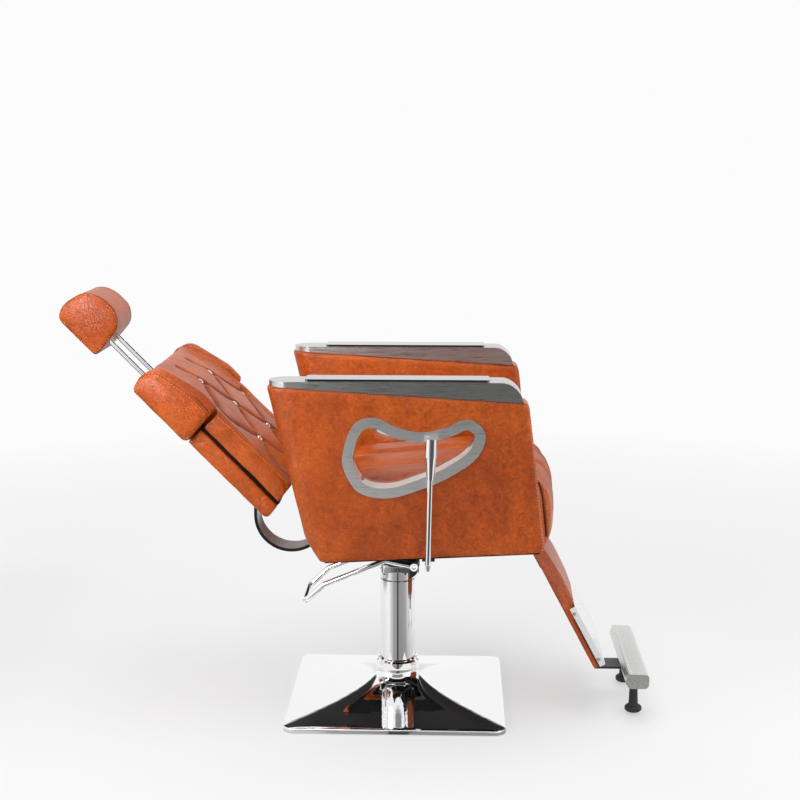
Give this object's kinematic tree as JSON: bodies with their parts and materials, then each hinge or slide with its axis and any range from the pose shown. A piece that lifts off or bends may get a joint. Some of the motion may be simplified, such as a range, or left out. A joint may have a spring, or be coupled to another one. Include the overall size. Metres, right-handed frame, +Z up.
{
  "type": "barber chair",
  "caption": "Reclining hydraulic barber chair on a square pedestal, with padded arms, tufted back, sliding headrest and footrest.",
  "frame": {"origin": "on the floor at the centre of the square base", "axes": "+X forward, towards the footrest; +Y to the sitter's left; +Z up. The back is fully reclined and the lift is at its lowest."},
  "size_m": [1.334, 0.659, 0.9666],
  "materials": {
    "leather": "semi-gloss tan leather with fine grain",
    "chrome": "mirror polished",
    "brushed_steel": "brushed",
    "steel": "zinc plated",
    "black_steel": "satin black",
    "cast_base": "rough",
    "bronze": "plain",
    "black_rubber": "matte",
    "black_plastic": "satin",
    "plywood": "raw"
  },
  "bodies": {
    "base": {"floor_mat": "black_rubber", "base_weight": "cast_base", "base_cover": "chrome", "column_collar": "chrome", "column_cover": "chrome", "pump_cylinder": "steel", "cylinder_gland": "steel"},
    "lift": {"piston": "chrome", "piston_seal": "black_rubber", "swivel_washer": "bronze"},
    "foot_lever": {"pump_lever": "chrome", "pump_shaft": "chrome"},
    "back": {"back_strap": "brushed_steel", "recline_crank": "black_steel", "back_shell": "leather", "back_strip": "black_plastic", "back_cushion": "leather", "tuft_buttons": "chrome", "wing_right": "leather", "wing_left": "leather", "rear_panel": "leather", "headrest_guides": "black_plastic", "strap_bolts": "steel"},
    "headrest": {"headrest_pad": "leather", "headrest_rods": "chrome"},
    "spring_rod": {"gas_rod": "steel"},
    "hand_lever": {"recline_lever": "chrome", "lever_grip": "chrome"},
    "seat": {"arm_bolts": "steel", "arm_cap_left": "brushed_steel", "arm_cap_right": "brushed_steel", "arm_pad_left": "black_plastic", "arm_pad_right": "black_plastic", "arm_panel_left": "leather", "arm_panel_right": "leather", "arm_trim_left": "brushed_steel", "arm_trim_right": "brushed_steel", "bar_caps": "chrome", "footrest_bar": "chrome", "footrest_bracket": "black_steel", "frame_rails": "black_steel", "gas_cylinder": "black_steel", "hinge_pin": "steel", "kick_plate": "chrome", "kick_screws": "steel", "leg_board": "leather", "leg_brackets": "black_steel", "leg_pad": "leather", "lever_bearing": "black_steel", "mount_bolts": "steel", "mount_plate": "black_steel", "pump_head": "chrome", "recline_bracket": "black_steel", "rubber_feet": "black_rubber", "seat_board": "plywood", "seat_cushion": "leather", "seat_frame": "black_steel", "spring_hanger": "black_steel"}
  },
  "joints": [
    {"name": "lift_slide", "type": "slide", "parent": "base", "child": "lift", "axis": [0, 0, 1], "range_m": [0, 0.15]},
    {"name": "swivel", "type": "hinge", "parent": "lift", "child": "seat", "pos_m": [0, 0, 0.3], "axis": [0, 0, 1], "continuous": true},
    {"name": "foot_lever_hinge", "type": "hinge", "parent": "seat", "child": "foot_lever", "pos_m": [0.04, 0, 0.337], "axis": [0, 1, 0], "range_deg": [-18, 0], "stiffness_Nm_per_rad": 12, "springref_deg": 20.05},
    {"name": "recline", "type": "hinge", "parent": "seat", "child": "back", "pos_m": [-0.1, 0, 0.44], "axis": [0, 1, 0], "range_deg": [0, 38]},
    {"name": "headrest_slide", "type": "slide", "parent": "back", "child": "headrest", "axis": [-0.6997, 0, 0.7145], "range_m": [-0.09, 0.03]},
    {"name": "spring_rod_slide", "type": "slide", "parent": "seat", "child": "spring_rod", "axis": [-1, 0, 0], "range_m": [0, 0.0392]},
    {"name": "recline_lever_hinge", "type": "hinge", "parent": "seat", "child": "hand_lever", "pos_m": [0.0755, 0, 0.404], "axis": [0, 1, 0], "range_deg": [-15, 0], "stiffness_Nm_per_rad": 4, "springref_deg": 11.46}
  ],
  "couplings": [
    {"joint": "spring_rod_slide", "follows": "recline", "m_per_rad": 0.05895}
  ]
}
